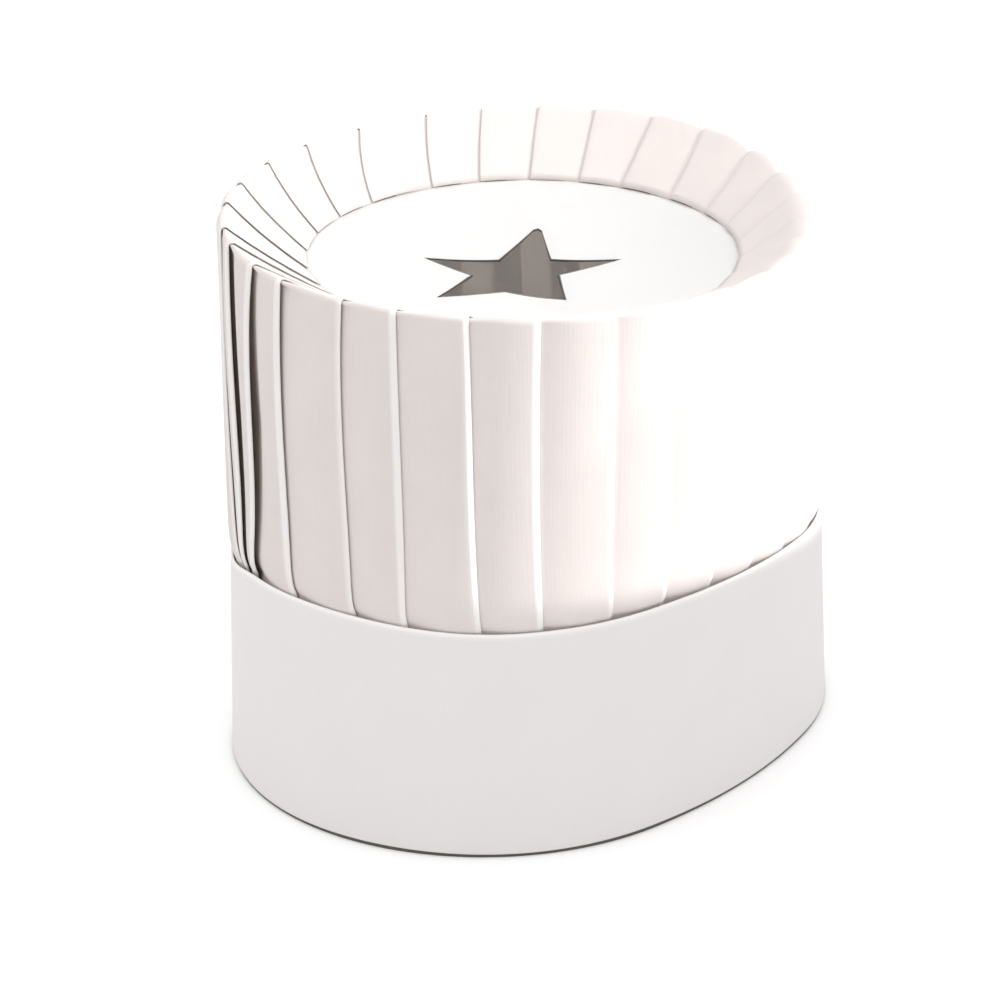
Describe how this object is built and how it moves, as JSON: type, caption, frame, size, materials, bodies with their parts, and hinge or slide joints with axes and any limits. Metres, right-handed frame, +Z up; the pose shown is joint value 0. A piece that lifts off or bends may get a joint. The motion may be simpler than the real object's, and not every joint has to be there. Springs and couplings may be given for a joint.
{
  "type": "chef toque",
  "caption": "Pleated paper chef's toque: stiff oval headband, knife-pleated wall flaring to a round rim, and a sunken flat top disc with a star-shaped vent. The band's lap slides at the back.",
  "frame": {"origin": "middle of the headband's bottom edge, on the surface that the hat stands on", "axes": "+Z up through the crown, forehead at -Y, band lap at +Y, wearer's left at +X"},
  "size_m": [0.1885, 0.2066, 0.171],
  "materials": {
    "band_board": "matte",
    "disc_board": "matte",
    "crown_paper": "matte",
    "sweat_pad": "matte",
    "glue": "satin",
    "tape": "satin",
    "liner": "satin"
  },
  "bodies": {
    "hat": {"headband": "band_board", "sweatband": "sweat_pad", "wall_glue": "glue", "crown_wall": "crown_paper", "wall_seam_glue": "glue", "disc_glue": "glue", "top_disc": "disc_board"},
    "tail": {"headband_tail": "band_board", "closure_tape": "tape", "release_liner": "liner"}
  },
  "joints": [
    {"name": "size_slide", "type": "hinge", "parent": "hat", "child": "tail", "pos_m": [0, 0.0219, 0], "axis": [0, 0, 1], "range_deg": [-10, 10]}
  ]
}
